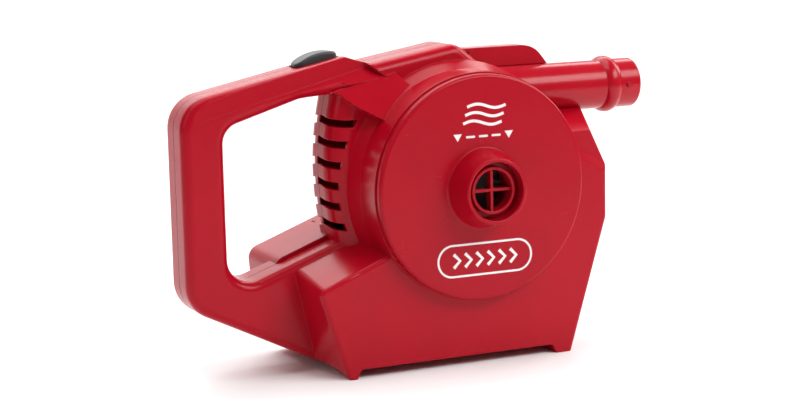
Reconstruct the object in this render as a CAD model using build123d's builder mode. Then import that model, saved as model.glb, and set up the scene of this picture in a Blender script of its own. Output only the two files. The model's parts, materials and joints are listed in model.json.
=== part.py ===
"""Battery air mattress pump: two clamshell halves with a D handle, a round fan cover with a deflate port,
a side outlet nozzle, a thumb switch, a fan driven by a brushed motor, and four D cells behind a rear door.

Millimetres, +Z up, +X towards the outlet nozzle, -Y towards the fan cover. The origin is on the floor, under
the middle of the whole pump. Outlines are drawn from the fan's axis in the seam plane between the two halves:
x runs towards the nozzle, z runs up, and depth is the distance in front of the seam (negative behind it).
"""

from build123d import *
import math
import os

os.makedirs("parts", exist_ok=True)

# Where the fan's axis crosses the seam plane
FAN_X = 21.0
FAN_Z = 115.0
SEAM_Y = 12.65

# Casing
WALL = 2.6
SEAM_GAP = 0.15
HANDLE_DEPTH = 17.0
HANDLE_ROUND = 6.0
BODY_DEPTH = 20.5
BLOCK_DEPTH = 50.0
BACK_DEPTH = 51.0
DRUM_R = 73.0
DRUM_FRONT = 52.2
SHOULDER_R = 78.0
SHOULDER_DEPTH = 29.0
FLOOR = -115.0
UNDERSIDE = -109.0

# Vents through the casing's left wall
VENTS = 6
VENT_TOP = 44.6
VENT_PITCH = 13.2
VENT_HEIGHT = 4.8
VENT_DROOP = 0.13
VENT_END_R = 82.0
VENT_REAR_REACH = 5.0
VENT_GROOVE = 1.4

# Fits
RUNNING_GAP = 0.05
LOOSE_GAP = 0.15
LEAD_R = 0.9

FAN_AXIS = Axis((FAN_X, 0, FAN_Z), (0, 1, 0))
SEAM = Plane.XZ.offset(-SEAM_Y)


def facing(depth):
    """A plane facing the front at this depth: its own x is +X and its own y is +Z."""
    return Plane(origin=(FAN_X, SEAM_Y - depth, FAN_Z), x_dir=(1, 0, 0), z_dir=(0, -1, 0))


def across(x):
    """A plane square to X: its own x is the depth and its own y is +Z. It extrudes towards -X."""
    return Plane(origin=(FAN_X + x, SEAM_Y, FAN_Z), x_dir=(0, -1, 0), z_dir=(-1, 0, 0))


TURNED = Plane(origin=(FAN_X, SEAM_Y, FAN_Z), x_dir=(1, 0, 0), z_dir=(0, 0, -1))


def turned(*profile):
    """A body turned about the fan's axis, from (radius, depth) points."""
    with BuildPart() as made:
        with BuildSketch(TURNED):
            with BuildLine():
                Polyline(*profile, close=True)
            make_face()
        revolve(axis=FAN_AXIS)
    return made.part


def flat(outline, radii, grow=0.0):
    """A closed outline with rounded corners, grown outwards by so much."""
    with BuildSketch() as made:
        with BuildLine():
            FilletPolyline(*outline, radius=radii, close=True)
        make_face()
        if grow:
            offset(amount=grow)
    return made.sketch


def box(x0, x1, d0, d1, z0, z1):
    """A box between two corners given in x, depth and z."""
    with BuildPart() as made:
        with Locations((FAN_X + (x0 + x1) / 2, SEAM_Y - (d0 + d1) / 2, FAN_Z + (z0 + z1) / 2)):
            Box(x1 - x0, d1 - d0, z1 - z0)
    return made.part


def wedge(x0, section0, x1, section1):
    """A straight loft between two sections square to X, each of (depth, z) points."""
    with BuildPart() as made:
        for x, section in ((x0, section0), (x1, section1)):
            with BuildSketch(across(x)):
                with BuildLine():
                    Polyline(*section, close=True)
                make_face()
        loft(ruled=True)
    return made.part


def lead(*points, radius=4.0):
    """A round insulated wire through (x, depth, z) points, with its turns rounded."""
    route = [(FAN_X + x, SEAM_Y - depth, FAN_Z + z) for x, depth, z in points]
    with BuildPart() as made:
        with BuildLine() as path:
            FilletPolyline(*route, radius=radius)
        with BuildSketch(path.line ^ 0):
            Circle(LEAD_R)
        sweep()
    return made.part


def mirrored(part):
    """The same shape on the other side of the seam plane."""
    return mirror(part, about=SEAM)


def save(part, name):
    part.label = name
    export_step(part, f"parts/{name}.step")


# The D handle: a strut on the left, an arm rising to the body and a lower arm running down to the base.
HANDLE_OUTLINE = ((-184, 61.3), (-74, 84.1), (-58, 78.6), (-40, 60), (-40, -100), (-60, -109), (-87, -115),
                  (-184, -66.5))
HANDLE_RADII = (22, 6, 3, 3, 3, 3, 0.5, 22)
WINDOW_OUTLINE = ((-156.5, 43.8), (-105, 59.2), (-75, 61.5), (-75, -30.5), (-130, -50), (-156.5, -59.4))
WINDOW_RADII = (13, 25, 2, 2, 60, 15)


def handle(inset=0.0):
    outside = flat(HANDLE_OUTLINE, HANDLE_RADII, -inset)
    window = flat(WINDOW_OUTLINE, WINDOW_RADII, inset)
    with BuildPart() as made:
        with BuildSketch(facing(0)):
            add(outside)
            add(window, mode=Mode.SUBTRACT)
        extrude(amount=HANDLE_DEPTH - inset)
        fillet(made.faces().sort_by(Axis.Y)[0].edges(), HANDLE_ROUND - inset)
    return made.part


def vent_wall(inset=0.0):
    """The body's left side, bowed outwards, with its front edge well rounded."""
    with BuildPart() as made:
        with BuildSketch(facing(0)):
            with BuildLine():
                bow = ThreePointArc((-82.5, -38), (-88.6, 12), (-82.5, 60.5))
                Polyline(bow @ 1, (-50, 68), (-30, 40), (-30, -60), (-60, -60), bow @ 0)
            make_face()
            if inset:
                offset(amount=-inset)
        extrude(amount=BODY_DEPTH - inset)
        left = made.faces().sort_by(Axis.Y)[0].edges().sort_by(Axis.X)[0]
        fillet(left, 13 - inset)
    return made.part


FRONT_SPINE = ((-78, 64), (-78, 84.3), (-57.5, 78.8), (2, 88.6), (21, 74), (60, 38), (60, -60), (-50, -60),
               (-50, 64))
FRONT_SPINE_RADII = (0.5, 9, 10, 12, 9, 4, 3, 3, 1)
REAR_SPINE = ((-78, 64), (-78, 84.3), (-57.5, 78.8), (0, 88.3), (14, 83), (68, 83), (101, 41),
              (101, -28), (60, -60), (-50, -60), (-50, 64))
REAR_SPINE_RADII = (0.5, 9, 10, 12, 12, 18, 9, 3, 3, 3, 1)
SPINE_ROUND = 7.0


def spine(outline, radii, depth, inset=0.0):
    shape = flat(outline, radii, -inset)
    with BuildPart() as made:
        with BuildSketch(facing(0)):
            add(shape)
        extrude(amount=depth - inset)
        top = made.faces().sort_by(Axis.Y)[0].edges().filter_by(lambda e: e.center().Z > FAN_Z + 70)
        fillet(top, SPINE_ROUND - inset)
    return made.part


NECK_OUTLINE = ((-92, 61), (-81.5, 62), (-74.5, 54.5), (-57.5, 44.5), (-40, 30), (-30, 58), (-43, 73),
                (-52, 70.5))
NECK_RADII = (0.5, 5, 8, 0.5, 0.5, 0.5, 0.5, 0.5)


def neck(inset=0.0):
    """The flank that swells forward from the arm to the drum."""
    shape = flat(NECK_OUTLINE, NECK_RADII, -inset)
    tilt = Plane(origin=(FAN_X - 84, SEAM_Y - 17 + inset, FAN_Z + 64), z_dir=(-0.2394, -1, 0.666))
    with BuildPart() as made:
        with BuildSketch(facing(0)):
            add(shape)
        extrude(amount=45)
        split(bisect_by=tilt, keep=Keep.BOTTOM)
    return made.part


# The base block under the drum, flared towards the seam. Its sides lean in towards the floor, its top slopes
# with the lower arm and drops towards the front, and its lower left corner meets the handle's lower edge.
BASE_FRONT = ((-91.5, -115), (-94, -108), (-110.5, -57.5), (-60, -37.7), (-56, -5), (30, 0), (60, 20),
              (60, 50), (94, 50), (94, -28), (67, -115))
BASE_BACK = ((-87, -115), (-104.5, -106.2), (-116, -44.5), (-60, -25), (-56, -5), (30, 0), (60, 20), (60, 50),
             (101, 50), (101, -28), (74, -115))
BASE_RADII = (0, 0, 5, 0, 0, 0, 0, 0, 0, 6, 0)


def base(inset=0.0):
    back_shape = flat(BASE_BACK, BASE_RADII, -inset)
    front_shape = flat(BASE_FRONT, BASE_RADII, -inset)
    with BuildPart() as made:
        with BuildSketch(facing(0)):
            add(back_shape)
        with BuildSketch(facing(BLOCK_DEPTH - inset)):
            add(front_shape)
        loft(ruled=True)
        if not inset:
            rim = made.faces().sort_by(Axis.Y)[0].edges().filter_by(
                lambda e: abs(e.center().X - FAN_X) > 84 and e.center().Z > 5)
            fillet(rim, 3)
    return made.part


def arm_recess(grow=0.0):
    """What is taken off the arm's upper flank, down to a ledge that widens towards the body."""
    def section(x):
        along = (x + 166) / 118
        deep = 16.8 - 4.2 * along - grow
        ledge = 48.5 + 30.6 * along - grow
        return (deep, ledge), (24, ledge - 1.08 * (24 - deep)), (24, 110), (deep, 110)

    limit = flat(((-176, 30), (-176, 105), (-78, 105), (-75, 84.5), (-62, 80.5), (-49, 70), (-52, 50)),
                 (0, 0, 0, 10, 10, 0, 0), grow)
    band = wedge(-176, section(-166), -40, section(-40))
    with BuildPart() as made:
        add(band)
        with BuildSketch(facing(0)):
            add(limit)
        extrude(amount=40, mode=Mode.INTERSECT)
    return made.part


def column_step(grow=0.0):
    """The shallow step across the base's upper right corner."""
    def section(x):
        low = 57.4 - 0.6 * x - grow
        high = 58.0 - 0.54 * x - grow
        return (51, low - 1), (BLOCK_DEPTH - grow, low), (47.2 - grow, high), (47.2 - grow, 90), (51, 90)

    return wedge(66, section(66), 108, section(108))


def column_top(grow=0.0):
    """Clears the space above the right corner, whose top slopes down towards the front."""
    section = ((-2, 42.9 - grow), (56, 27.4 - grow), (56, 90), (-2, 90))
    return wedge(58, section, 112, section)


def column_chamfer(grow=0.0):
    """The slanting corner between the right side, the front and the nozzle."""
    lean = Vector(725, -371, 348).normalized()
    at = Vector(FAN_X + 83.5, SEAM_Y - 47.2, FAN_Z + 29.5) - lean * grow
    with BuildPart() as made:
        with BuildSketch(Plane(origin=at, z_dir=lean)):
            Rectangle(160, 160)
        extrude(amount=60)
    return made.part


FEET_X = (-84, 53)


def feet_gap():
    with BuildPart() as made:
        with BuildSketch(facing(-60)):
            with BuildLine():
                FilletPolyline((FEET_X[0], UNDERSIDE), (FEET_X[1], UNDERSIDE), (FEET_X[1] + 3, FLOOR - 1),
                               (FEET_X[0] - 3, FLOOR - 1), radius=(3, 3, 0, 0), close=True)
            make_face()
        extrude(amount=120)
    return made.part


def vents(reach):
    """Six slots that droop away from the seam and stop at one radius from the fan's axis."""
    core = turned((0, -60), (VENT_END_R, -60), (VENT_END_R, 60), (0, 60))
    with BuildPart() as made:
        for number in range(VENTS):
            middle = VENT_TOP - number * VENT_PITCH
            low, high = middle - VENT_HEIGHT / 2, middle + VENT_HEIGHT / 2
            drop = reach * VENT_DROOP
            section = ((-1, low), (reach, low - drop), (reach, high - drop), (-1, high))
            add(wedge(-100, section, -66, section))
        add(core, mode=Mode.SUBTRACT)
    return made.part


# The fan cover closes the drum; the outlet nozzle lies in the seam.
DRUM_BORE_R = 70.4
COVER_R = 72.0
COVER_BACK = 52.5
COVER_FRONT = 58.0
PORT_FRONT = 76.3
PORT_R = 20.65
PORT_BORE_R = 18.4
GRILLE_R = 15.15
GRILLE_BORE_R = 13.0
GRILLE_FRONT = 71.1
NOZZLE_Z = 53.5
NOZZLE_R = 16.3
NOZZLE_BORE_R = 14.2
NOZZLE_ROOT = 16.0
NOZZLE_END = 142.0
NOZZLE_AXIS = Axis((0, SEAM_Y, FAN_Z + NOZZLE_Z), (1, 0, 0))
BARREL = Plane(origin=(FAN_X, SEAM_Y, FAN_Z + NOZZLE_Z), x_dir=(1, 0, 0), z_dir=(0, -1, 0))


def tube(x0, x1, radius, bore=0.0):
    """A plain tube about the nozzle's axis."""
    with BuildPart() as made:
        with BuildSketch(BARREL):
            with BuildLine():
                Polyline((x0, bore), (x1, bore), (x1, radius), (x0, radius), close=True)
            make_face()
        revolve(axis=NOZZLE_AXIS)
    return made.part


def rod(radius, d0, d1, x=0.0, z=0.0):
    """A round bar along the fan's axis direction."""
    with BuildPart() as made:
        with BuildSketch(facing(d0)):
            with Locations((x, z)):
                Circle(radius)
        extrude(amount=d1 - d0)
    return made.part



# Screws join the halves from behind: (x, z, reach of the front post).
SCREWS = ((-170, 42, 15), (-170, -50, 15), (-56, 66, 16), (-104, -70, 30), (84, -34, 30), (88, 24, 20))
SCREW_R = 1.5
SCREW_HEAD_R = 3.0
SCREW_HEAD = 2.4
SCREW_REACH = 10.0
POST_R = 4.2
HEAD_SEAT = 9.0


def screw(x, z, seat, reach):
    """A pan-head screw whose head lies behind the seat depth and whose shank reaches forward."""
    with BuildPart() as made:
        add(rod(SCREW_R, seat, reach, x, z))
        add(rod(SCREW_HEAD_R, seat - SCREW_HEAD, seat, x, z))
        slot = box(x - 2.2, x + 2.2, seat - SCREW_HEAD - 1, seat - SCREW_HEAD + 1, z - 0.4, z + 0.4)
        add(slot, mode=Mode.SUBTRACT)
        cross = box(x - 0.4, x + 0.4, seat - SCREW_HEAD - 1, seat - SCREW_HEAD + 1, z - 2.2, z + 2.2)
        add(cross, mode=Mode.SUBTRACT)
    return made.part


# Thumb switch on the arm's sloping top
SWITCH_X = -104.0
SWITCH_TOP = 77.8
SWITCH_SLOPE = 0.207
SWITCH_LENGTH = 29.5
SWITCH_WIDTH = 14.6
SWITCH_HEIGHT = 5.6
SWITCH_TRAVEL = 7.0
SWITCH_POCKET = 3.4
SWITCH_PLANE = Plane(origin=(FAN_X + SWITCH_X, SEAM_Y, FAN_Z + SWITCH_TOP),
                     x_dir=(1, 0, SWITCH_SLOPE), z_dir=(-SWITCH_SLOPE, 0, 1))


def on_arm(x0, x1, half_width, low, high, corner=0.0):
    """A block lying along the arm's top: x from the switch's left end, heights above the arm."""
    with BuildPart() as made:
        with BuildSketch(SWITCH_PLANE.offset(low)):
            with Locations(((x0 + x1) / 2, 0)):
                if corner:
                    RectangleRounded(x1 - x0, 2 * half_width, corner)
                else:
                    Rectangle(x1 - x0, 2 * half_width)
        extrude(amount=high - low)
    return made.part


switch_pad = on_arm(-4, SWITCH_LENGTH + SWITCH_TRAVEL + 4, 10.5, -SWITCH_POCKET - WALL, -0.5)
switch_pocket = on_arm(-0.6, SWITCH_LENGTH + SWITCH_TRAVEL + 0.6, SWITCH_WIDTH / 2 + 0.5, -SWITCH_POCKET,
                       12, 3)
switch_slot = on_arm(8.5, 26.5, 2.8, -9, 0)
HOUSING_X = (2.0, 31.0)
HOUSING_LOW = -14.6
HOUSING_HIGH = -8.4
housing_ribs = [on_arm(-1.2, 1.8, 9, -15, -4), on_arm(31.2, 34.2, 9, -15, -4)]

# Bodies turned about the fan's axis
drum = turned((0, 0), (SHOULDER_R, 0), (SHOULDER_R, BODY_DEPTH), (DRUM_R + 0.5, SHOULDER_DEPTH), (DRUM_R, 30),
              (DRUM_R, DRUM_FRONT), (0, DRUM_FRONT))
drum_cavity = turned((0, -1), (SHOULDER_R - WALL, -1), (SHOULDER_R - WALL, BODY_DEPTH - WALL),
                     (0, BODY_DEPTH - WALL))
PLATE_BACK = 17.5
PLATE_FRONT = 20.0
drum_skin = turned((66, PLATE_BACK - 2), (DRUM_R, PLATE_BACK - 2), (DRUM_R, DRUM_FRONT),
                   (DRUM_BORE_R, DRUM_FRONT), (DRUM_BORE_R, PLATE_BACK), (66, PLATE_BACK))
drum_bore = turned((0, PLATE_BACK), (DRUM_BORE_R, PLATE_BACK), (DRUM_BORE_R, 60), (0, 60))
floor_wall = box(-100, 130, -1, 60, FLOOR, UNDERSIDE + WALL)
nozzle_clearance = tube(NOZZLE_ROOT + 3.4, 112, NOZZLE_R + LOOSE_GAP)

# The plate's screws: angles about the fan's axis
PLATE_SCREW_R = 66.4
PLATE_SCREWS = [(PLATE_SCREW_R * math.cos(math.radians(a)), PLATE_SCREW_R * math.sin(math.radians(a)))
                for a in (135, 225, 315)]


# ---------------------------------------------------------------- front half
with BuildPart() as front_outside:
    for piece in (handle(), vent_wall(), spine(FRONT_SPINE, FRONT_SPINE_RADII, BODY_DEPTH), neck(), base()):
        add(piece)
    for piece in (column_top(), column_step(), column_chamfer(), arm_recess()):
        add(piece, mode=Mode.SUBTRACT)
    add(drum)

with BuildPart() as front_cavity:
    for piece in (handle(WALL), vent_wall(WALL),
                  spine(FRONT_SPINE, FRONT_SPINE_RADII, BODY_DEPTH, WALL), neck(WALL),
                  base(WALL), drum_cavity):
        add(piece)
    for piece in (column_top(WALL), column_step(WALL), column_chamfer(WALL), arm_recess(WALL), floor_wall):
        add(piece, mode=Mode.SUBTRACT)

with BuildPart() as front_posts:
    for x, z, reach in SCREWS:
        add(rod(POST_R, 0, reach + 20, x, z))
    add(front_outside.part, mode=Mode.INTERSECT)

with BuildPart() as front_pad:
    add(switch_pad)
    for piece in housing_ribs:
        add(piece)
    add(front_outside.part, mode=Mode.INTERSECT)

with BuildPart() as front_shell:
    add(front_outside.part)
    add(front_cavity.part, mode=Mode.SUBTRACT)
    add(front_posts.part)
    add(drum_bore, mode=Mode.SUBTRACT)
    add(drum_skin)
    for x, z in PLATE_SCREWS:
        add(rod(3.4, 8, PLATE_BACK, x, z))
    add(front_pad.part)
    add(switch_pocket, mode=Mode.SUBTRACT)
    add(switch_slot, mode=Mode.SUBTRACT)
    for x, z in PLATE_SCREWS:
        add(rod(SCREW_R + RUNNING_GAP, 7, PLATE_BACK + 1, x, z), mode=Mode.SUBTRACT)
    for x, z, reach in SCREWS:
        add(rod(SCREW_R + RUNNING_GAP, -1, SCREW_REACH + 1, x, z), mode=Mode.SUBTRACT)
    add(vents(40), mode=Mode.SUBTRACT)
    add(feet_gap(), mode=Mode.SUBTRACT)
    add(nozzle_clearance, mode=Mode.SUBTRACT)
    add(box(-200, 130, -60, SEAM_GAP, -120, 100), mode=Mode.SUBTRACT)
save(front_shell.part, "front_shell")

# ---------------------------------------------------------------- rear half
# Drawn like the front half and mirrored about the seam.
BLOCK_OUTLINE = ((-87, -115), (-104.5, -106.2), (-119.5, -62), (-121, -44.5), (-60, -22), (95, -22),
                 (95, -40), (74, -115))
BLOCK_RADII = (0, 0, 0, 9, 0, 9, 0, 0)
DOME_R = 46.0
DOME_SLOTS = (-24, -16, -8, 0, 8, 16, 24)


def block(inset=0.0):
    shape = flat(BLOCK_OUTLINE, BLOCK_RADII, -inset)
    with BuildPart() as made:
        with BuildSketch(facing(0)):
            add(shape)
        extrude(amount=BACK_DEPTH - inset)
        if not inset:
            rim = made.faces().sort_by(Axis.Y)[0].edges().filter_by(lambda e: e.center().Z > 5)
            fillet(rim, 4)
    return made.part


def dome(inset=0.0):
    """The round cap over the back of the motor."""
    radius = DOME_R - inset
    with BuildPart() as made:
        add(turned((0, 0), (radius, 0), (radius, BACK_DEPTH - inset), (0, BACK_DEPTH - inset)))
        fillet(made.faces().sort_by(Axis.Y)[0].edges(), 6 - inset)
    return made.part


ring = turned((0, 0), (SHOULDER_R, 0), (SHOULDER_R, BODY_DEPTH - 3), (SHOULDER_R - 3, BODY_DEPTH),
              (0, BODY_DEPTH))

# Battery door in the back of the block
DOOR_X = (-73.6, 57.6)
DOOR_TOP = -69.9
DOOR_GAP = 0.4
HINGE_Z = -103.5
HINGE_DEPTH = 48.6
KNUCKLE_R = 2.4
TRUNNION_R = 1.4
TRUNNION_LENGTH = 2.5
DOOR_INSIDE = BACK_DEPTH - WALL


def bar(radius, x0, x1, depth, z):
    """A round bar along X."""
    with BuildPart() as made:
        with BuildSketch(across(x1)):
            with Locations((depth, z)):
                Circle(radius)
        extrude(amount=x1 - x0)
    return made.part


with BuildPart() as rear_cavity:
    for piece in (handle(WALL), vent_wall(WALL),
                  spine(REAR_SPINE, REAR_SPINE_RADII, BODY_DEPTH, WALL), drum_cavity,
                  block(WALL), dome(WALL)):
        add(piece)
    seam_wall = box(20, 110, -1, WALL, 36, 90)
    add(seam_wall, mode=Mode.SUBTRACT)
    add(floor_wall, mode=Mode.SUBTRACT)
    add(tube(20, 110, NOZZLE_R + LOOSE_GAP + WALL), mode=Mode.SUBTRACT)
    add(drum_cavity)

with BuildPart() as rear_outside:
    for piece in (handle(), vent_wall(), spine(REAR_SPINE, REAR_SPINE_RADII, BODY_DEPTH), ring, block(),
                  dome()):
        add(piece)

with BuildPart() as rear_pad:
    add(switch_pad)
    for piece in housing_ribs:
        add(piece)
    add(rear_outside.part, mode=Mode.INTERSECT)

# Behind the seam the slots go on as grooves around the rounded corner.
with BuildPart() as vent_grooves:
    add(vents(40))
    add(vent_wall(VENT_GROOVE), mode=Mode.SUBTRACT)

with BuildPart() as rear_half:
    add(rear_outside.part)
    add(rear_cavity.part, mode=Mode.SUBTRACT)
    for x, z, reach in SCREWS:
        add(rod(POST_R + 0.8, 0, BODY_DEPTH - WALL if z > 0 or x < -150 else DOOR_INSIDE, x, z))
    for x, z, reach in SCREWS:
        add(rod(SCREW_HEAD_R + 0.3, HEAD_SEAT, BACK_DEPTH + 1, x, z), mode=Mode.SUBTRACT)
        add(rod(SCREW_R + RUNNING_GAP, -1, HEAD_SEAT + 1, x, z), mode=Mode.SUBTRACT)
    for x0, x1, z0, z1 in ((-1, 1, 21.2, 44), (-1, 1, -44, -21.2), (21.2, 44, -1, 1), (-44, -21.2, -1, 1)):
        add(box(x0, x1, 18, DOOR_INSIDE + 0.5, z0, z1))
    add(rear_pad.part)
    add(switch_pocket, mode=Mode.SUBTRACT)
    add(switch_slot, mode=Mode.SUBTRACT)
    for x0, x1 in ((DOOR_X[0] - 6.4, DOOR_X[0] - DOOR_GAP), (DOOR_X[1] + DOOR_GAP, DOOR_X[1] + 6.4)):
        add(box(x0, x1, 45, DOOR_INSIDE + 0.5, HINGE_Z - 3.5, HINGE_Z + 3.5))
    add(box(DOOR_X[0] - DOOR_GAP, DOOR_X[1] + DOOR_GAP, 45, BACK_DEPTH + 1, UNDERSIDE + WALL,
            DOOR_TOP + DOOR_GAP),
        mode=Mode.SUBTRACT)
    add(bar(TRUNNION_R + RUNNING_GAP, DOOR_X[0] - TRUNNION_LENGTH - 0.3, DOOR_X[1] + TRUNNION_LENGTH + 0.3,
            HINGE_DEPTH, HINGE_Z), mode=Mode.SUBTRACT)
    for x in DOME_SLOTS:
        tall = 0.8 * math.sqrt(36 ** 2 - x ** 2)
        for z0, z1 in ((4, tall), (-tall, -4)):
            add(box(x - 1.6 + (3 if x == 0 else 0), x + 1.6 + (3 if x == 0 else 0), 46, 60, z0, z1),
                mode=Mode.SUBTRACT)
    add(vents(VENT_REAR_REACH), mode=Mode.SUBTRACT)
    add(vent_grooves.part, mode=Mode.SUBTRACT)
    add(feet_gap(), mode=Mode.SUBTRACT)
    add(nozzle_clearance, mode=Mode.SUBTRACT)
    add(box(-200, 130, -60, SEAM_GAP, -120, 100), mode=Mode.SUBTRACT)
rear_shell = mirrored(rear_half.part)
save(rear_shell, "rear_shell")


# ---------------------------------------------------------------- battery door
with BuildPart() as door_half:
    add(box(DOOR_X[0], DOOR_X[1], DOOR_INSIDE, BACK_DEPTH, HINGE_Z, DOOR_TOP))
    add(bar(KNUCKLE_R, DOOR_X[0], DOOR_X[1], HINGE_DEPTH, HINGE_Z))
    add(bar(TRUNNION_R, DOOR_X[0] - TRUNNION_LENGTH, DOOR_X[1] + TRUNNION_LENGTH, HINGE_DEPTH, HINGE_Z))
    middle = (DOOR_X[0] + DOOR_X[1]) / 2
    for number in range(5):
        top = DOOR_TOP - 4 - 2.4 * number
        add(box(middle - 14, middle + 14, BACK_DEPTH - 0.8, BACK_DEPTH + 1, top - 1.2, top),
            mode=Mode.SUBTRACT)
battery_door = mirrored(door_half.part)
save(battery_door, "battery_door")

# ---------------------------------------------------------------- fan cover, deflate port and grille
PORT_BASE_R = 25.4
PORT_FLOOR = 66.0
PORT_TUBE_BACK = 44.3
COVER_INSIDE = 55.4
SPIGOT_BACK = 47.0
SPIGOT_OUT = 70.0
SPIGOT_IN = 67.8

with BuildPart() as fan_cover:
    with BuildSketch(TURNED):
        with BuildLine():
            Polyline((PORT_BORE_R, PORT_TUBE_BACK), (PORT_R, PORT_TUBE_BACK), (PORT_R, COVER_INSIDE),
                     (SPIGOT_IN, COVER_INSIDE), (SPIGOT_IN, SPIGOT_BACK), (SPIGOT_OUT, SPIGOT_BACK),
                     (SPIGOT_OUT, COVER_BACK), (COVER_R, COVER_BACK), (COVER_R, COVER_FRONT),
                     (PORT_BASE_R, COVER_FRONT), (PORT_R, PORT_FRONT), (PORT_BORE_R, PORT_FRONT), close=True)
        make_face()
    revolve(axis=FAN_AXIS)
    circles = fan_cover.edges().filter_by(GeomType.CIRCLE)
    fillet(circles.filter_by(lambda e: abs(e.radius - COVER_R) < 0.01).sort_by(Axis.Y)[0], 2.5)
    fillet(circles.filter_by(lambda e: abs(e.radius - PORT_BASE_R) < 0.01), 1.5)
    lip = circles.filter_by(lambda e: abs(e.center().Y - (SEAM_Y - PORT_FRONT)) < 0.01)
    fillet(lip, 0.9)
save(fan_cover.part, "fan_cover")

# The grille snaps into the port from the front: a flange, a raised ring and a cross of two bars.
with BuildPart() as port_grille:
    add(turned((GRILLE_BORE_R, 62), (PORT_BORE_R - RUNNING_GAP, 62), (PORT_BORE_R - RUNNING_GAP, PORT_FLOOR),
               (GRILLE_R, PORT_FLOOR), (GRILLE_R, GRILLE_FRONT), (GRILLE_BORE_R, GRILLE_FRONT)))
    fillet(port_grille.faces().sort_by(Axis.Y)[0].edges(), 0.6)
    bars = [box(-GRILLE_BORE_R - 1, GRILLE_BORE_R + 1, 63, 68.5, -0.9, 0.9),
            box(-0.9, 0.9, 63, 68.5, -GRILLE_BORE_R - 1, GRILLE_BORE_R + 1)]
    for piece in bars:
        add(piece)
save(port_grille.part, "port_grille")

# ---------------------------------------------------------------- outlet nozzle
BEAD_X = (115.5, 126.5)
BEAD_R = 19.0
TIP_R = 16.5
TIP_ROUND = 2.2
PEG_X = 131.7
PEG_R = 1.75
PEG_REACH = 18.2
FLANGE_R = 17.4
FLANGE_END = 19.0

with BuildPart() as outlet_nozzle:
    with BuildSketch(BARREL):
        with BuildLine():
            barrel_line = Polyline((BEAD_X[0], NOZZLE_R), (FLANGE_END, NOZZLE_R), (FLANGE_END, FLANGE_R),
                                   (NOZZLE_ROOT, FLANGE_R), (NOZZLE_ROOT, NOZZLE_BORE_R),
                                   (NOZZLE_END, NOZZLE_BORE_R), (NOZZLE_END, TIP_R - TIP_ROUND))
            lip = RadiusArc(barrel_line @ 1, (NOZZLE_END - TIP_ROUND, TIP_R), -TIP_ROUND)
            tip = Line(lip @ 1, (BEAD_X[1], TIP_R))
            ThreePointArc(tip @ 1, ((BEAD_X[0] + BEAD_X[1]) / 2, BEAD_R), barrel_line @ 0)
        make_face()
    revolve(axis=NOZZLE_AXIS)
    with BuildSketch(facing(-PEG_REACH)):
        with Locations((PEG_X, NOZZLE_Z)):
            Circle(PEG_R)
    extrude(amount=2 * PEG_REACH)
    add(tube(PEG_X - 5, PEG_X + 5, NOZZLE_BORE_R), mode=Mode.SUBTRACT)
save(outlet_nozzle.part, "outlet_nozzle")

# ---------------------------------------------------------------- fan chamber
WHEEL_R = 50.0
SCROLL_R = 58.5
SCROLL_WALL = 2.0
SCROLL_X = 3.0
SCROLL_Z = 4.0
SCROLL_FRONT = 53.4
WINDOW_X = (-12.0, 13.0)
WINDOW_Z = (41.0, 60.0)
MOTOR_BOSS_R = 6.5
MOTOR_SCREW_R = 12.5


def scroll(d0, d1):
    with BuildPart() as made:
        with BuildSketch(facing(d0)):
            with Locations((SCROLL_X, SCROLL_Z)):
                Circle(SCROLL_R + SCROLL_WALL)
                Circle(SCROLL_R, mode=Mode.SUBTRACT)
        extrude(amount=d1 - d0)
    return made.part


with BuildPart() as scroll_plate:
    with BuildSketch(facing(PLATE_BACK)):
        Circle(DRUM_BORE_R - LOOSE_GAP)
        Circle(MOTOR_BOSS_R + 0.1, mode=Mode.SUBTRACT)
        with Locations(((WINDOW_X[0] + WINDOW_X[1]) / 2, (WINDOW_Z[0] + WINDOW_Z[1]) / 2)):
            Rectangle(WINDOW_X[1] - WINDOW_X[0], WINDOW_Z[1] - WINDOW_Z[0], mode=Mode.SUBTRACT)
        with Locations(*PLATE_SCREWS):
            Circle(SCREW_R + RUNNING_GAP, mode=Mode.SUBTRACT)
        with Locations((-MOTOR_SCREW_R, 0), (MOTOR_SCREW_R, 0)):
            Circle(SCREW_R + RUNNING_GAP, mode=Mode.SUBTRACT)
    extrude(amount=PLATE_FRONT - PLATE_BACK)
save(scroll_plate.part, "scroll_plate")

with BuildPart() as scroll_wall:
    add(scroll(PLATE_FRONT, SCROLL_FRONT))
save(scroll_wall.part, "scroll_wall")

with BuildPart() as cover_gasket:
    add(scroll(SCROLL_FRONT, COVER_INSIDE))
save(cover_gasket.part, "cover_gasket")

with BuildPart() as outlet_elbow:
    add(box(-16, NOZZLE_ROOT, -17, PLATE_BACK, 36.3, 70.3))
    add(box(-14.2, NOZZLE_ROOT - 1.8, -15.2, 13.5, 38.1, 68.5), mode=Mode.SUBTRACT)
    add(turned((65.7, 15.2), (90, 15.2), (90, 20), (65.7, 20)), mode=Mode.SUBTRACT)
    add(box(WINDOW_X[0], WINDOW_X[1], 0, 30, WINDOW_Z[0], WINDOW_Z[1]), mode=Mode.SUBTRACT)
    add(tube(0, 30, NOZZLE_BORE_R), mode=Mode.SUBTRACT)
save(outlet_elbow.part, "outlet_elbow")

# ---------------------------------------------------------------- impeller
BLADES = 11
WHEEL_BACK = 24.0
WHEEL_FRONT = 43.0
HUB_R = 6.0
SHAFT_R = 1.6
EYE_R = 22.0

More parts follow.
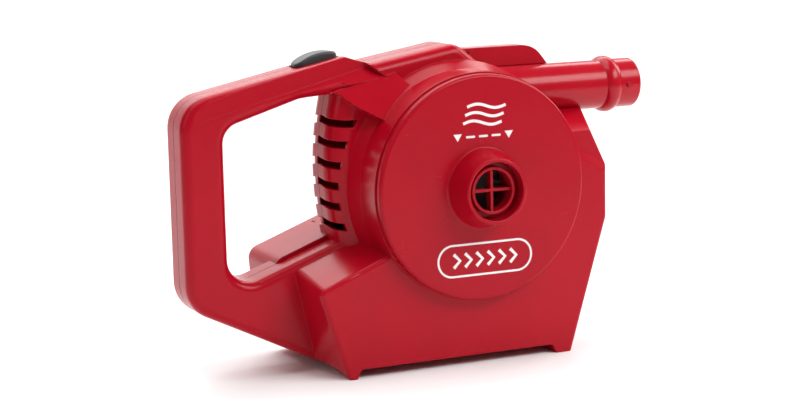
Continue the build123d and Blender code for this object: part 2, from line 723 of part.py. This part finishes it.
with BuildPart() as impeller:
    add(turned((SHAFT_R, WHEEL_BACK), (WHEEL_R, WHEEL_BACK), (WHEEL_R, WHEEL_BACK + 1.6),
               (HUB_R, WHEEL_BACK + 1.6),
               (HUB_R, WHEEL_BACK + 12), (SHAFT_R, WHEEL_BACK + 12)))
    add(turned((EYE_R, WHEEL_FRONT - 1.4), (WHEEL_R, WHEEL_FRONT - 1.4), (WHEEL_R, WHEEL_FRONT),
               (EYE_R, WHEEL_FRONT)))
    with BuildSketch(facing(WHEEL_BACK + 1)):
        for number in range(BLADES):
            turn = 360 / BLADES * number
            with BuildLine():
                inner = Vector(20, 0).rotate(Axis.Z, turn)
                middle = Vector(36, 0).rotate(Axis.Z, turn - 14)
                outer = Vector(WHEEL_R - 0.5, 0).rotate(Axis.Z, turn - 38)
                ThreePointArc(inner, middle, outer)
            trace(line_width=1.2)
    extrude(amount=WHEEL_FRONT - WHEEL_BACK - 2)
save(impeller.part, "impeller")

# ---------------------------------------------------------------- motor
CAN_R = 17.9
CAN_WALL = 1.2
CAN_BACK = 34.0
SHAFT_BACK = -38.0
SHAFT_FRONT = 36.0
BUSH_R = 3.5

with BuildPart() as motor_can:
    add(turned((BUSH_R, PLATE_BACK - CAN_WALL), (BUSH_R, PLATE_BACK), (BUSH_R, PLATE_FRONT - 0.5),
               (MOTOR_BOSS_R, PLATE_FRONT - 0.5), (MOTOR_BOSS_R, PLATE_BACK), (CAN_R, PLATE_BACK),
               (CAN_R, -CAN_BACK), (CAN_R - CAN_WALL, -CAN_BACK), (CAN_R - CAN_WALL, PLATE_BACK - CAN_WALL)))
    for x in (-MOTOR_SCREW_R, MOTOR_SCREW_R):
        add(rod(SCREW_R + RUNNING_GAP, 10, 20, x, 0), mode=Mode.SUBTRACT)
save(motor_can.part, "motor_can")

with BuildPart() as motor_end_cap:
    add(turned((BUSH_R, -CAN_BACK - 2), (CAN_R, -CAN_BACK - 2), (CAN_R, -CAN_BACK),
               (CAN_R - CAN_WALL - 0.05, -CAN_BACK),
               (CAN_R - CAN_WALL - 0.05, 2 - CAN_BACK), (BUSH_R, 2 - CAN_BACK)))
    for z in (-8, 8):
        add(box(-1.0, 1.0, -40, -30, z - 0.4, z + 0.4), mode=Mode.SUBTRACT)
save(motor_end_cap.part, "motor_end_cap")

with BuildPart() as motor_terminals:
    for z in (-8, 8):
        add(box(-0.95, 0.95, -41.5, -CAN_BACK + 2, z - 0.35, z + 0.35))
save(motor_terminals.part, "motor_terminals")

with BuildPart() as motor_bushings:
    add(turned((SHAFT_R + RUNNING_GAP, 15), (BUSH_R, 15), (BUSH_R, PLATE_FRONT - 0.5),
               (SHAFT_R + RUNNING_GAP, PLATE_FRONT - 0.5)))
    add(turned((SHAFT_R + RUNNING_GAP, -CAN_BACK - 2), (BUSH_R, -CAN_BACK - 2), (BUSH_R, 2 - CAN_BACK),
               (SHAFT_R + RUNNING_GAP, 2 - CAN_BACK)))
save(motor_bushings.part, "motor_bushings")

with BuildPart() as motor_magnets:
    with BuildSketch(facing(-22)):
        for side in (0, 180):
            with BuildLine():
                CenterArc((0, 0), 14.8, side - 58, 116)
            trace(line_width=3.6)
    extrude(amount=30)
save(motor_magnets.part, "motor_magnets")

with BuildPart() as motor_shaft:
    add(rod(SHAFT_R, SHAFT_BACK, SHAFT_FRONT))
save(motor_shaft.part, "motor_shaft")

POLES = 5
with BuildPart() as armature:
    with BuildSketch(facing(-20)):
        Circle(5)
        for number in range(POLES):
            with Locations(Location((0, 0, 0), (0, 0, 1), 360 / POLES * number)):
                with Locations((6.5, 0)):
                    Rectangle(9, 3)
            with BuildLine():
                CenterArc((0, 0), 11.2, 360 / POLES * number - 28, 56)
            trace(line_width=1.6)
        Circle(SHAFT_R, mode=Mode.SUBTRACT)
    extrude(amount=26)
    add(turned((SHAFT_R, -30), (4, -30), (4, -21), (SHAFT_R, -21)))
    add(turned((SHAFT_R, -21), (3, -21), (3, -20), (SHAFT_R, -20)))
save(armature.part, "armature")

with BuildPart() as windings:
    with BuildSketch(facing(-19)):
        for number in range(POLES):
            with Locations(Location((0, 0, 0), (0, 0, 1), 360 / POLES * number)):
                with Locations((7.2, 3.2), (7.2, -3.2)):
                    Rectangle(4.6, 3.2)
    extrude(amount=24)
    add(armature.part, mode=Mode.SUBTRACT)
save(windings.part, "armature_windings")

with BuildPart() as motor_brushes:
    for x0, x1 in ((4.1, 9), (-9, -4.1)):
        add(box(x0, x1, -28, -24, -2, 2))
save(motor_brushes.part, "motor_brushes")

with BuildPart() as damper_ring:
    add(turned((CAN_R, -26), (21.1, -26), (21.1, -16), (CAN_R, -16)))
save(damper_ring.part, "damper_ring")

# ---------------------------------------------------------------- cells and their tray
CELL_R = 16.6
CELL_LENGTH = 61.0
CELL_NUB_R = 4.75
CELL_NUB = 1.5
CELL_Z = -87.5
ROWS = (5.2, -29.4)
TRAY_X = (-70.5, 55.0)
TRAY_WALL = 1.6
PLATE = 0.5
SPRING = 2.5
TRAY_FLOOR = -104.4


def cell(x, depth, towards):
    """A D cell from x along +X, its raised end on the right (1) or the left (-1)."""
    start, end = (x + CELL_NUB, x + CELL_LENGTH) if towards < 0 else (x, x + CELL_LENGTH - CELL_NUB)
    with BuildPart() as made:
        add(bar(CELL_R, start, end, depth, CELL_Z))
        fillet(made.edges(), 1.2)
        add(bar(CELL_NUB_R, x + 0.5, x + CELL_LENGTH - 0.5, depth, CELL_Z))
        add(bar(CELL_NUB_R, x, x + CELL_LENGTH, depth, CELL_Z))
    return made.part


cell_number = 0
for depth, towards, offset_x in ((ROWS[0], 1, SPRING), (ROWS[1], -1, 0)):
    for place in range(2):
        cell_number += 1
        save(cell(TRAY_X[0] + PLATE + offset_x + place * CELL_LENGTH, depth, towards), f"cell_{cell_number}")

with BuildPart() as battery_tray:
    add(box(TRAY_X[0] - TRAY_WALL, TRAY_X[1] + TRAY_WALL, -45.6, 24.0, TRAY_FLOOR - TRAY_WALL, TRAY_FLOOR))
    add(box(TRAY_X[0] - TRAY_WALL, TRAY_X[1] + TRAY_WALL, 22.4, 24.0, TRAY_FLOOR, -86))
    add(box(TRAY_X[0] - TRAY_WALL, TRAY_X[0], -45.6, 24.0, TRAY_FLOOR, -80))
    add(box(TRAY_X[1], TRAY_X[1] + TRAY_WALL, -45.6, 24.0, TRAY_FLOOR, -80))
    add(box(TRAY_X[0], TRAY_X[1], -13.2, -11.0, TRAY_FLOOR, -96))
save(battery_tray.part, "battery_tray")

with BuildPart() as contact_plates:
    for depth in ROWS:
        add(box(TRAY_X[0], TRAY_X[0] + PLATE, depth - 7, depth + 7, CELL_Z - 9, CELL_Z + 11))
    add(box(TRAY_X[1] - PLATE, TRAY_X[1], ROWS[1] - 7, ROWS[0] + 7, CELL_Z - 7, CELL_Z + 7))
save(contact_plates.part, "contact_plates")



def contact_spring(x, depth):
    """A flat three-turn spring between a plate and a cell."""
    with BuildPart() as made:
        for turn, radius in enumerate((6.0, 5.0, 4.0)):
            with BuildSketch(Plane(origin=(FAN_X + x + 0.4 + turn * 0.8, SEAM_Y - depth, FAN_Z + CELL_Z),
                                   x_dir=(0, 1, 0), z_dir=(1, 0, 0))):
                Circle(radius + 0.6)
                Circle(radius - 0.6, mode=Mode.SUBTRACT)
            extrude(amount=0.4, both=True)
    return made.part


with BuildPart() as contact_springs:
    add(contact_spring(TRAY_X[0] + PLATE, ROWS[0]))
    add(contact_spring(TRAY_X[1] - PLATE - SPRING + 0.05, ROWS[1]))
save(contact_springs.part, "contact_springs")

# ---------------------------------------------------------------- thumb switch
with BuildPart() as switch_button:
    with BuildSketch(SWITCH_PLANE.offset(-SWITCH_POCKET + 0.2)):
        with Locations((SWITCH_LENGTH / 2, 0)):
            RectangleRounded(SWITCH_LENGTH, SWITCH_WIDTH, 5.5)
    extrude(amount=SWITCH_HEIGHT + SWITCH_POCKET)
    with BuildSketch(Plane(origin=SWITCH_PLANE.from_local_coords((0, 20, 0)), x_dir=SWITCH_PLANE.x_dir,
                           z_dir=(0, -1, 0))):
        with BuildLine():
            floor = Polyline((SWITCH_LENGTH + 1, 2.4), (SWITCH_LENGTH + 1, -5), (-1, -5), (-1, 1.2))
            ThreePointArc(floor @ 1, (18, SWITCH_HEIGHT), floor @ 0)
        make_face()
    extrude(amount=40, mode=Mode.INTERSECT)
    fillet(switch_button.faces().sort_by(Axis.Z)[-1].edges(), 1.8)
    add(on_arm(9, 19, 2.4, -8.1, -SWITCH_POCKET + 0.3))
    add(on_arm(11.8, 15.7, 1.45, -9, -5.3), mode=Mode.SUBTRACT)
save(switch_button.part, "switch_button")

with BuildPart() as switch_lever:
    add(on_arm(11.9, 15.6, 1.35, -11.0, -5.4))
save(switch_lever.part, "switch_lever")

with BuildPart() as switch_housing:
    add(on_arm(HOUSING_X[0], HOUSING_X[1], 6, HOUSING_LOW, HOUSING_HIGH))
    add(on_arm(10.5, 24, 4, HOUSING_LOW + 1.5, HOUSING_HIGH - 1.2), mode=Mode.SUBTRACT)
    add(on_arm(11.2, 23.4, 1.7, -10, -8), mode=Mode.SUBTRACT)
save(switch_housing.part, "switch_housing")

# ---------------------------------------------------------------- fasteners
with BuildPart() as shell_screws:
    for x, z, reach in SCREWS:
        add(screw(x, z, -HEAD_SEAT, SCREW_REACH))
save(shell_screws.part, "shell_screws")


def front_screw(x, z, seat, reach):
    """The same screw turned round, with its head in front of the seat."""
    with BuildPart() as made:
        add(rod(SCREW_R, reach, seat, x, z))
        add(rod(SCREW_HEAD_R, seat, seat + 2.0, x, z))
    return made.part


with BuildPart() as plate_screws:
    for x, z in PLATE_SCREWS:
        add(front_screw(x, z, PLATE_FRONT, 9))
save(plate_screws.part, "plate_screws")

with BuildPart() as motor_screws:
    for x in (-MOTOR_SCREW_R, MOTOR_SCREW_R):
        add(front_screw(x, 0, PLATE_FRONT, 14))
save(motor_screws.part, "motor_screws")

# ---------------------------------------------------------------- leads
with BuildPart() as red_lead:
    add(lead((-70.25, 5.2, CELL_Z + 11), (-70.25, 5.2, -40), (-64.3, 5, 50), (-64.3, 5, 71.5)))
save(red_lead.part, "red_lead")

with BuildPart() as white_lead:
    add(lead((-64.3, -5, 71.5), (-64.3, -5, 50), (-56, -9, 34), (-24, -14.5, 26), (-14, -38, 16),
             (-9, -39.5, 8), (-0.95, -39.5, 8)))
save(white_lead.part, "white_lead")

with BuildPart() as black_lead:
    add(lead((-70.25, ROWS[1], CELL_Z + 11), (-70.25, ROWS[1], -46), (-26, -34, -28), (-12, -39.5, -8),
             (-0.95, -39.5, -8)))
save(black_lead.part, "black_lead")
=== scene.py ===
"""Looks for the battery air mattress pump: materials, printed marks, floor, light and camera.

Everything is in metres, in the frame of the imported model. Only the printed marks are drawn in millimetres,
from the fan's axis.
"""

import json
import math

import bmesh
import bpy
from mathutils import Matrix, Vector


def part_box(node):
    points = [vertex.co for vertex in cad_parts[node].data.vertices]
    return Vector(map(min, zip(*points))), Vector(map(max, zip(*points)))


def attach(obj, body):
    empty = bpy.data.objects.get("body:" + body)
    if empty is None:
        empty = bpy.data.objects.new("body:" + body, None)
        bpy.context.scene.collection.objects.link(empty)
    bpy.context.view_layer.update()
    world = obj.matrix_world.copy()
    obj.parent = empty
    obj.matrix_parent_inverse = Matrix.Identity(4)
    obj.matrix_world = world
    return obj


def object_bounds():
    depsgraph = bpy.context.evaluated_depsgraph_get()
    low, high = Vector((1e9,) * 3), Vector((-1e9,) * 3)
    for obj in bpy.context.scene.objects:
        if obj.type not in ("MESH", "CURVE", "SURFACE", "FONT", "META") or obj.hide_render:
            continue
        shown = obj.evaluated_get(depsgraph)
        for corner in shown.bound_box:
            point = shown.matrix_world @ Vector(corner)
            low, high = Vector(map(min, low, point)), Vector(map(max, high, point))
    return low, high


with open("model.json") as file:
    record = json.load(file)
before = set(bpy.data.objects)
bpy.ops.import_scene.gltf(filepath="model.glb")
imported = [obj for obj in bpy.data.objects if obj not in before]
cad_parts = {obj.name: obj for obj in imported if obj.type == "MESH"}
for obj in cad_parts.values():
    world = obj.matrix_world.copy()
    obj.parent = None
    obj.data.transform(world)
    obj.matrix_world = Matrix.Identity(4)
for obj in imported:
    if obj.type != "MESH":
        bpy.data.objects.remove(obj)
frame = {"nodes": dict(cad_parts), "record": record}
cad_box = [list(corner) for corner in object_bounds()]

MM = 0.001
collection = bpy.context.scene.collection


def box_middle(node):
    low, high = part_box(node)
    return (low + high) / 2


FAN = box_middle("motor_shaft")
SEAM_Y = box_middle("outlet_nozzle").y
# The deflate port stands this far in front of the cover's flat face.
PORT_LENGTH = 18.3 * MM
COVER_FACE_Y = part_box("fan_cover")[0].y + PORT_LENGTH


# ---------------------------------------------------------------- node helpers
def new_material(name):
    material = bpy.data.materials.new(name)
    material.use_nodes = True
    tree = material.node_tree
    return material, tree, tree.nodes["Principled BSDF"]


def add_node(tree, kind, inputs=None, **settings):
    """A new node. Its inputs are other nodes' outputs, which are linked, or plain values."""
    node = tree.nodes.new(kind)
    for key, value in settings.items():
        setattr(node, key, value)
    for key, value in (inputs or {}).items():
        if hasattr(value, "is_output"):
            tree.links.new(value, node.inputs[key])
        else:
            node.inputs[key].default_value = value
    return node


def noise(tree, where, scale, detail=3.0, roughness=0.55, stretch=None):
    """A noise value over the object's own coordinates, in cells per metre."""
    if stretch:
        where = add_node(tree, "ShaderNodeMapping", {"Vector": where, "Scale": stretch}).outputs["Vector"]
    inputs = {"Vector": where, "Scale": scale, "Detail": detail, "Roughness": roughness}
    return add_node(tree, "ShaderNodeTexNoise", inputs).outputs["Fac"]


def remap(tree, value, low, high, from_low=0.3, from_high=0.7):
    """The value's range, by default that of most noise, stretched to run from low to high."""
    inputs = {"Value": value, "From Min": from_low, "From Max": from_high, "To Min": low, "To Max": high}
    return add_node(tree, "ShaderNodeMapRange", inputs).outputs["Result"]


# A mix node has its sockets once for each data type, so the colour ones are reached by number.
MIX_FACTOR, MIX_COLOUR_A, MIX_COLOUR_B = 0, 6, 7
MIX_RESULT = 2


def mix(tree, factor, a, b):
    """Colour a where the factor is 0 and colour b where it is 1."""
    inputs = {MIX_FACTOR: factor, MIX_COLOUR_A: a, MIX_COLOUR_B: b}
    return add_node(tree, "ShaderNodeMix", inputs, data_type="RGBA").outputs[MIX_RESULT]


def math_node(tree, operation, *values):
    return add_node(tree, "ShaderNodeMath", dict(enumerate(values)), operation=operation).outputs[0]


def bump_normal(tree, height, strength, distance, **more):
    """A normal for the shader, from a height and how deep its relief is in metres."""
    inputs = {"Height": height, "Strength": strength, "Distance": distance, **more}
    return add_node(tree, "ShaderNodeBump", inputs).outputs["Normal"]


def y_of(tree, vector):
    return add_node(tree, "ShaderNodeSeparateXYZ", {"Vector": vector}).outputs["Y"]


def object_space(tree):
    return add_node(tree, "ShaderNodeTexCoord").outputs["Object"]


def shade(amount, colour):
    """The colour made lighter or darker."""
    return [min(1.0, c * amount) for c in colour[:3]] + [1.0]


def painted_seam_shade(tree, where, true_normal, strength):
    """How dark the painted shade along the seam between the casing's halves is here. Faces that look along y
    are left as they are.
    """
    offset = math_node(tree, "SUBTRACT", y_of(tree, where), SEAM_Y)
    facing = math_node(tree, "ABSOLUTE", y_of(tree, true_normal))
    side = remap(tree, facing, strength, 0.0, 0.6, 0.9)
    line = remap(tree, math_node(tree, "ABSOLUTE", offset), 1.0, 0.0, 0.3 * MM, 0.7 * MM)
    return math_node(tree, "MULTIPLY", side, line)


LEAST_ROUND_MM = 0.3
GRAIN_DEPTH = 0.4 * MM


def moulded(name, colour, gloss=0.3, spread=0.03, grain=0.02, grain_scale=1800.0, round_mm=0.0,
            edge_wear_and_highlight=0.25, seam=0.0, specular=0.5):
    """Moulded plastic: faintly cloudy colour, uneven gloss, fine grain, rounded edges painted lighter as
    slight abrasion and painted highlight.
    """
    material, tree, shader = new_material(name)
    where = object_space(tree)
    cloud = remap(tree, noise(tree, where, 22.0), 0.0, 1.0)
    base = mix(tree, cloud, shade(0.95, colour), shade(1.05, colour))
    true_normal = add_node(tree, "ShaderNodeNewGeometry").outputs["True Normal"]
    radius = max(round_mm, LEAST_ROUND_MM) * MM
    rounded = add_node(tree, "ShaderNodeBevel", {"Radius": radius}, samples=6).outputs["Normal"]
    # The rounded and the true normal part only near an edge, where the colour is painted lighter: abrasion
    # and painted highlight.
    edge = add_node(tree, "ShaderNodeVectorMath", {0: rounded, 1: true_normal}, operation="DOT_PRODUCT")
    wear_and_edge_highlight = remap(tree, edge.outputs["Value"], edge_wear_and_highlight, 0.0, 0.80, 0.98)
    # Painted highlight along every edge, partly standing for slight abrasion.
    base = mix(tree, wear_and_edge_highlight, base, shade(1.6, colour))
    if seam:
        # Painted shade along the seam, as if shade fell into the gap between the halves.
        base = mix(tree, painted_seam_shade(tree, where, true_normal, seam), base, shade(0.25, colour))
    tree.links.new(base, shader.inputs["Base Color"])
    smear = noise(tree, where, 45.0, 4.0, 0.6)
    tree.links.new(remap(tree, smear, gloss - spread, gloss + spread), shader.inputs["Roughness"])
    under = {"Normal": rounded} if round_mm else {}
    normal = bump_normal(tree, noise(tree, where, grain_scale, 2.0), grain, GRAIN_DEPTH, **under)
    tree.links.new(normal, shader.inputs["Normal"])
    shader.inputs["Specular IOR Level"].default_value = specular
    return material


def metal(name, colour, roughness=0.3, brushed=(1.0, 1.0, 30.0), strength=0.08):
    """Bare or plated metal with drawn marks and a little tarnish."""
    material, tree, shader = new_material(name)
    where = object_space(tree)
    tarnish = remap(tree, noise(tree, where, 70.0), 0.0, 0.5)
    tree.links.new(mix(tree, tarnish, shade(1.0, colour), shade(0.7, colour)), shader.inputs["Base Color"])
    marks = noise(tree, where, 260.0, 4.0, 0.6, brushed)
    tree.links.new(remap(tree, marks, roughness - 0.1, roughness + 0.12), shader.inputs["Roughness"])
    tree.links.new(bump_normal(tree, marks, strength, 0.2 * MM), shader.inputs["Normal"])
    shader.inputs["Metallic"].default_value = 1.0
    return material


RED = (0.405, 0.0020, 0.0125)
DEEP_RED = (0.385, 0.0020, 0.0120)

materials = {
    "red_casing": moulded("red_abs", RED, gloss=0.22, round_mm=0.9, edge_wear_and_highlight=0.10, seam=0.85, specular=0.18),
    "red_cover": moulded("red_abs_cover", DEEP_RED, gloss=0.25, round_mm=0.5, edge_wear_and_highlight=0.10, specular=0.18),
    "red_nozzle": moulded("red_abs_nozzle", RED, gloss=0.21, round_mm=0.4, edge_wear_and_highlight=0.10, specular=0.28),
    "black_switch": moulded("black_switch_plastic", (0.022, 0.022, 0.025), gloss=0.38, grain=0.12,
                            grain_scale=2600.0, round_mm=0.3, edge_wear_and_highlight=0.5),
    "black_insert": moulded("black_nylon", (0.03, 0.03, 0.03), gloss=0.5, grain=0.08),
    "dark_inner": moulded("dark_grey_abs", (0.06, 0.06, 0.065), gloss=0.45, grain=0.06),
    "grey_foam": moulded("grey_foam", (0.16, 0.16, 0.17), gloss=0.9, spread=0.05, grain=0.6,
                         grain_scale=900.0, specular=0.2),
    "white_fan": moulded("natural_nylon", (0.34, 0.33, 0.30), gloss=0.42, grain=0.05),
    "black_rubber": moulded("black_rubber", (0.02, 0.02, 0.02), gloss=0.72, grain=0.25, grain_scale=1400.0,
                            specular=0.3),
    "carbon": moulded("carbon_block", (0.03, 0.03, 0.03), gloss=0.6, grain=0.4, grain_scale=2400.0),
    "magnet": moulded("ferrite", (0.05, 0.05, 0.055), gloss=0.5, grain=0.3, grain_scale=1600.0),
    "red_wire": moulded("red_pvc", (0.55, 0.02, 0.015), gloss=0.35, grain=0.05),
    "white_wire": moulded("white_pvc", (0.78, 0.78, 0.75), gloss=0.35, grain=0.05),
    "black_wire": moulded("black_pvc", (0.02, 0.02, 0.02), gloss=0.35, grain=0.05),
    "steel": metal("zinc_plated_steel", (0.62, 0.62, 0.64), 0.32),
    "motor_steel": metal("motor_can_steel", (0.55, 0.56, 0.58), 0.35, (1.0, 25.0, 1.0)),
    "spring_steel": metal("nickel_plate", (0.72, 0.71, 0.69), 0.2),
    "brass_contact": metal("brass", (0.78, 0.60, 0.28), 0.3),
    "lamination": metal("lamination_steel", (0.36, 0.36, 0.39), 0.45, (1.0, 60.0, 1.0), 0.3),
    "copper_winding": metal("enamelled_copper", (0.72, 0.30, 0.13), 0.28, (1.0, 1.0, 60.0), 0.4),
}


def cell_jacket():
    """A D cell: a plain dark jacket with a copper-coloured band."""
    material, tree, shader = new_material("cell_jacket")
    where = object_space(tree)
    along = add_node(tree, "ShaderNodeSeparateXYZ", {"Vector": where}).outputs["X"]
    low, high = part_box("cell_1")
    length = high.x - low.x
    band = math_node(tree, "LESS_THAN", math_node(tree, "PINGPONG", along, length), 0.2 * length)
    colour = mix(tree, band, [0.02, 0.02, 0.022, 1], [0.50, 0.24, 0.08, 1])
    scuff = remap(tree, noise(tree, where, 120.0, 5.0), 0.0, 0.25)
    tree.links.new(mix(tree, scuff, colour, [0.2, 0.19, 0.18, 1]), shader.inputs["Base Color"])
    tree.links.new(remap(tree, noise(tree, where, 80.0), 0.22, 0.36), shader.inputs["Roughness"])
    normal = bump_normal(tree, noise(tree, where, 700.0), 0.05, 0.3 * MM)
    tree.links.new(normal, shader.inputs["Normal"])
    return material


materials["cell_jacket"] = cell_jacket()


def print_ink(name, colour):
    """Pad-printed ink: nearly flat, a little thin in places."""
    material, tree, shader = new_material(name)
    where = object_space(tree)
    thin = remap(tree, noise(tree, where, 300.0, 4.0), 0.0, 0.18)
    tree.links.new(mix(tree, thin, list(colour) + [1], [0.72, 0.45, 0.47, 1]), shader.inputs["Base Color"])
    tree.links.new(remap(tree, noise(tree, where, 500.0), 0.35, 0.5), shader.inputs["Roughness"])
    normal = bump_normal(tree, noise(tree, where, 1500.0), 0.1, 0.2 * MM)
    tree.links.new(normal, shader.inputs["Normal"])
    return material


white_ink = print_ink("white_ink", (0.86, 0.85, 0.84))


# ---------------------------------------------------------------- CAD nodes
slot_of = {entry["node"]: entry["material_slot"] for entry in frame["record"]["subparts"]}

for node, piece in frame["nodes"].items():
    material = materials[slot_of[node]]
    if not piece.material_slots:
        piece.data.materials.append(material)
    for place in piece.material_slots:
        place.material = material


# ---------------------------------------------------------------- printed marks
PRINT_HEIGHT = 0.12 * MM


def printed(name, outlines):
    """Thin raised print on the cover's flat face, as one piece, from outlines of (x, z) points."""
    bm = bmesh.new()
    for outline in outlines:
        flat = [(FAN.x + x * MM, FAN.z + z * MM) for x, z in outline]
        low = [bm.verts.new((x, COVER_FACE_Y, z)) for x, z in flat]
        high = [bm.verts.new((x, COVER_FACE_Y - PRINT_HEIGHT, z)) for x, z in flat]
        bm.faces.new(high)
        bm.faces.new(list(reversed(low)))
        for i in range(len(outline)):
            j = (i + 1) % len(outline)
            bm.faces.new((low[i], low[j], high[j], high[i]))
    bmesh.ops.recalc_face_normals(bm, faces=bm.faces)
    bmesh.ops.triangulate(bm, faces=[f for f in bm.faces if len(f.verts) > 4])
    mesh = bpy.data.meshes.new(name)
    bm.to_mesh(mesh)
    bm.free()
    mesh.materials.append(white_ink)
    piece = bpy.data.objects.new(name, mesh)
    collection.objects.link(piece)
    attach(piece, "casing")


def ribbon(points, width, closed=False):
    """Quads along a line of (x, z) points, as separate outlines."""
    total = len(points)
    last = total - 1

    def side(i):
        before = Vector(points[(i - 1) % total] if closed or i > 0 else points[i])
        after = Vector(points[(i + 1) % total] if closed or i < last else points[i])
        along = (after - before).normalized()
        return Vector((-along.y, along.x)) * width / 2

    quads = []
    for i in range(total if closed else last):
        j = (i + 1) % total
        a, b = Vector(points[i]), Vector(points[j])
        quads.append([tuple(a - side(i)), tuple(b - side(j)), tuple(b + side(j)), tuple(a + side(i))])
    return quads


def rounded_box(centre_x, centre_z, half_x, half_z, radius, steps=8):
    points = []
    for corner, (sx, sz) in enumerate(((1, 1), (-1, 1), (-1, -1), (1, -1))):
        for step in range(steps + 1):
            angle = math.radians(90 * corner + 90 * step / steps)
            points.append((centre_x + sx * (half_x - radius) + radius * math.cos(angle),
                           centre_z + sz * (half_z - radius) + radius * math.sin(angle)))
    return points


def wave(x0, x1, z, height, steps=24):
    """One full wave from x0 to x1, about the line at z."""
    parts = [step / steps for step in range(steps + 1)]
    return [(x0 + (x1 - x0) * part, z + height * math.sin(2 * math.pi * part)) for part in parts]


def chevron(x, z, size):
    return [(x - size / 2, z + size), (x + size / 2, z), (x - size / 2, z - size)]


def triangle(x, z, half_width=2.9, top=2.2, tip=2.4):
    """A triangle that points down."""
    return [(x - half_width, z + top), (x + half_width, z + top), (x, z - tip)]


def port_marks(z=33.0, triangle_x=18.0, dash_x=9.0):
    """Two triangles that point down, with three dashes between them."""
    marks = [triangle(x, z) for x in (-triangle_x, triangle_x)]
    marks += [rounded_box(x, z, half_x=3.2, half_z=0.7, radius=0.7) for x in (-dash_x, 0.0, dash_x)]
    return marks


def air_waves(low_z=41.5, rise=5.2, shift=1.5, line_width=1.8):
    """Three waves above the triangles, each a little further along than the one below it."""
    waves = []
    for row in range(3):
        waves += ribbon(wave(-14 + row * shift, 13 + row * shift, low_z + row * rise, 1.5), line_width)
    return waves


def direction_label(z=-45.0, first_x=-20.0, spacing=8.0):
    """A plain rounded label with a row of chevrons."""
    label = ribbon(rounded_box(0, z, half_x=33, half_z=10, radius=9.9), 1.3, closed=True)
    for number in range(6):
        label += ribbon(chevron(first_x + spacing * number, z, size=4.4), 2.1)
    return label


printed("port_marks", port_marks())
printed("air_waves", air_waves())
printed("direction_label", direction_label())


# ---------------------------------------------------------------- floor, light and camera
def stage_floor():
    """A pale floor that curves up far behind the object."""
    half_width, depth, rise, bend = 5.0, 4.0, 3.0, 1.2
    profile = [(-depth, 0.0), (depth - bend, 0.0)]
    profile += [(depth - bend + bend * math.sin(math.radians(a)), bend - bend * math.cos(math.radians(a)))
                for a in range(10, 91, 10)]
    profile.append((depth, rise))
    bm = bmesh.new()
    left, right = ([bm.verts.new((x, y, z)) for y, z in profile] for x in (-half_width, half_width))
    for i in range(len(profile) - 1):
        bm.faces.new((left[i], right[i], right[i + 1], left[i + 1]))
    mesh = bpy.data.meshes.new("floor")
    bm.to_mesh(mesh)
    bm.free()
    for face in mesh.polygons:
        face.use_smooth = True
    floor = bpy.data.objects.new("floor", mesh)
    collection.objects.link(floor)
    material, tree, shader = new_material("pale_floor")
    where = object_space(tree)
    tone = remap(tree, noise(tree, where, 3.0), 0.0, 1.0)
    tree.links.new(mix(tree, tone, [0.90, 0.90, 0.90, 1], [0.93, 0.93, 0.93, 1]), shader.inputs["Base Color"])
    shader.inputs["Roughness"].default_value = 0.9
    shader.inputs["Specular IOR Level"].default_value = 0.1
    mesh.materials.append(material)


def soft_box(name, place, target, width, height, power):
    light = bpy.data.lights.new(name, "AREA")
    light.shape = "RECTANGLE"
    light.size = width
    light.size_y = height
    light.energy = power
    lamp = bpy.data.objects.new(name, light)
    collection.objects.link(lamp)
    lamp.location = place
    lamp.rotation_euler = (Vector(target) - Vector(place)).to_track_quat("-Z", "Y").to_euler()


stage_floor()
middle = (Vector(cad_box[0]) + Vector(cad_box[1])) / 2
soft_box("top_box", (-0.20, 0.20, 1.20), middle, width=1.3, height=0.8, power=10.0)
soft_box("front_box", (0.62, -0.80, 0.92), (0.10, 0.0, 0.16), width=1.1, height=0.50, power=13.0)
soft_box("left_box", (-1.25, -0.30, 0.75), middle, width=0.35, height=0.9, power=1.5)
soft_box("right_box", (1.45, 0.25, 0.95), (0.12, 0.0, 0.14), width=0.7, height=0.9, power=9.0)
# Behind the object, this one keeps the far floor as bright as the near floor in the camera's view.
soft_box("floor_box", (0.7, 2.5, 2.5), (0.8, 2.9, 0.0), width=4.0, height=1.8, power=120.0)

world = bpy.data.worlds.new("studio")
bpy.context.scene.world = world
world.use_nodes = True
background = world.node_tree.nodes["Background"]
background.inputs["Color"].default_value = (1.0, 1.0, 1.0, 1.0)
background.inputs["Strength"].default_value = 0.22

# The camera looks from the handle's side, a little from above, with a long lens.
CAMERA_AZIMUTH = math.radians(-24.65)
CAMERA_ELEVATION = math.radians(9.35)
CAMERA_ROLL = math.radians(-1.29)
CAMERA_DISTANCE = 1.2226
CAMERA_LENS = 89.01
CAMERA_TARGET = Vector((-0.03754, -0.04535, 0.10967))


def aim_camera():
    back = Vector((math.sin(CAMERA_AZIMUTH) * math.cos(CAMERA_ELEVATION),
                   -math.cos(CAMERA_AZIMUTH) * math.cos(CAMERA_ELEVATION), math.sin(CAMERA_ELEVATION)))
    right = Vector((math.cos(CAMERA_AZIMUTH), math.sin(CAMERA_AZIMUTH), 0))
    up = back.cross(right)
    rolled_right = right * math.cos(CAMERA_ROLL) + up * math.sin(CAMERA_ROLL)
    rolled_up = up * math.cos(CAMERA_ROLL) - right * math.sin(CAMERA_ROLL)
    place = Matrix((rolled_right, rolled_up, back)).transposed().to_4x4()
    place.translation = CAMERA_TARGET + back * CAMERA_DISTANCE
    camera = bpy.data.objects.new("camera", bpy.data.cameras.new("camera"))
    collection.objects.link(camera)
    camera.matrix_world = place
    camera.data.sensor_width = 36.0
    camera.data.lens = CAMERA_LENS
    camera.data.clip_end = 50.0
    bpy.context.scene.camera = camera


aim_camera()
bpy.context.scene.view_settings.view_transform = "Standard"

bpy.context.view_layer.update()
